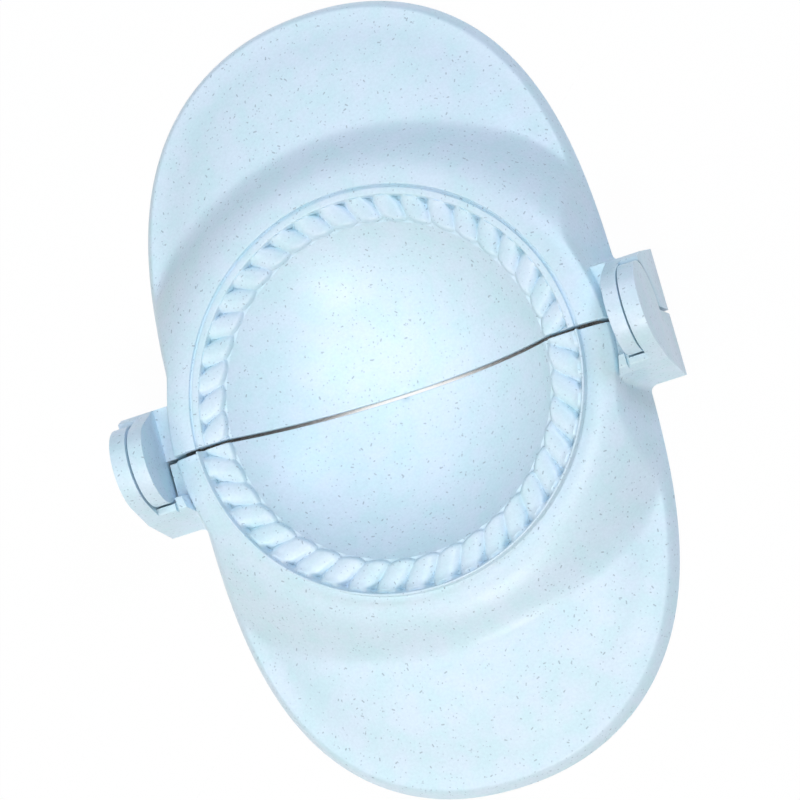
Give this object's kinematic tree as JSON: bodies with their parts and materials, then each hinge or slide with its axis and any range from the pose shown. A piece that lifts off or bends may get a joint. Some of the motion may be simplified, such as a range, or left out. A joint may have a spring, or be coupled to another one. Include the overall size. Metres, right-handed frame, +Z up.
{
  "type": "dumpling press",
  "caption": "Folding dumpling press, shown open flat: each half has half of a round bowl, a rope-like crimping band, a sealing ring and a broad cap-like handle, joined by side hinges.",
  "frame": {"origin": "centre of the bounding box's bottom face, on the surface that the open press stands on, straight below the middle of the hinge axis", "axes": "+X along the hinge axis, +Y from the hinge towards the handle of the rear half, +Z up"},
  "size_m": [0.1134, 0.166, 0.0261],
  "materials": {
    "fibre_plastic": "pale ice-blue moulded plastic with fine straw-fibre specks, satin to matt"
  },
  "bodies": {
    "front": {"front_half": "fibre_plastic"},
    "rear": {"rear_half": "fibre_plastic"}
  },
  "joints": [
    {"name": "fold", "type": "hinge", "parent": "front", "child": "rear", "pos_m": [0, 0, 0.0172], "axis": [1, 0, 0], "range_deg": [0, 180]}
  ]
}
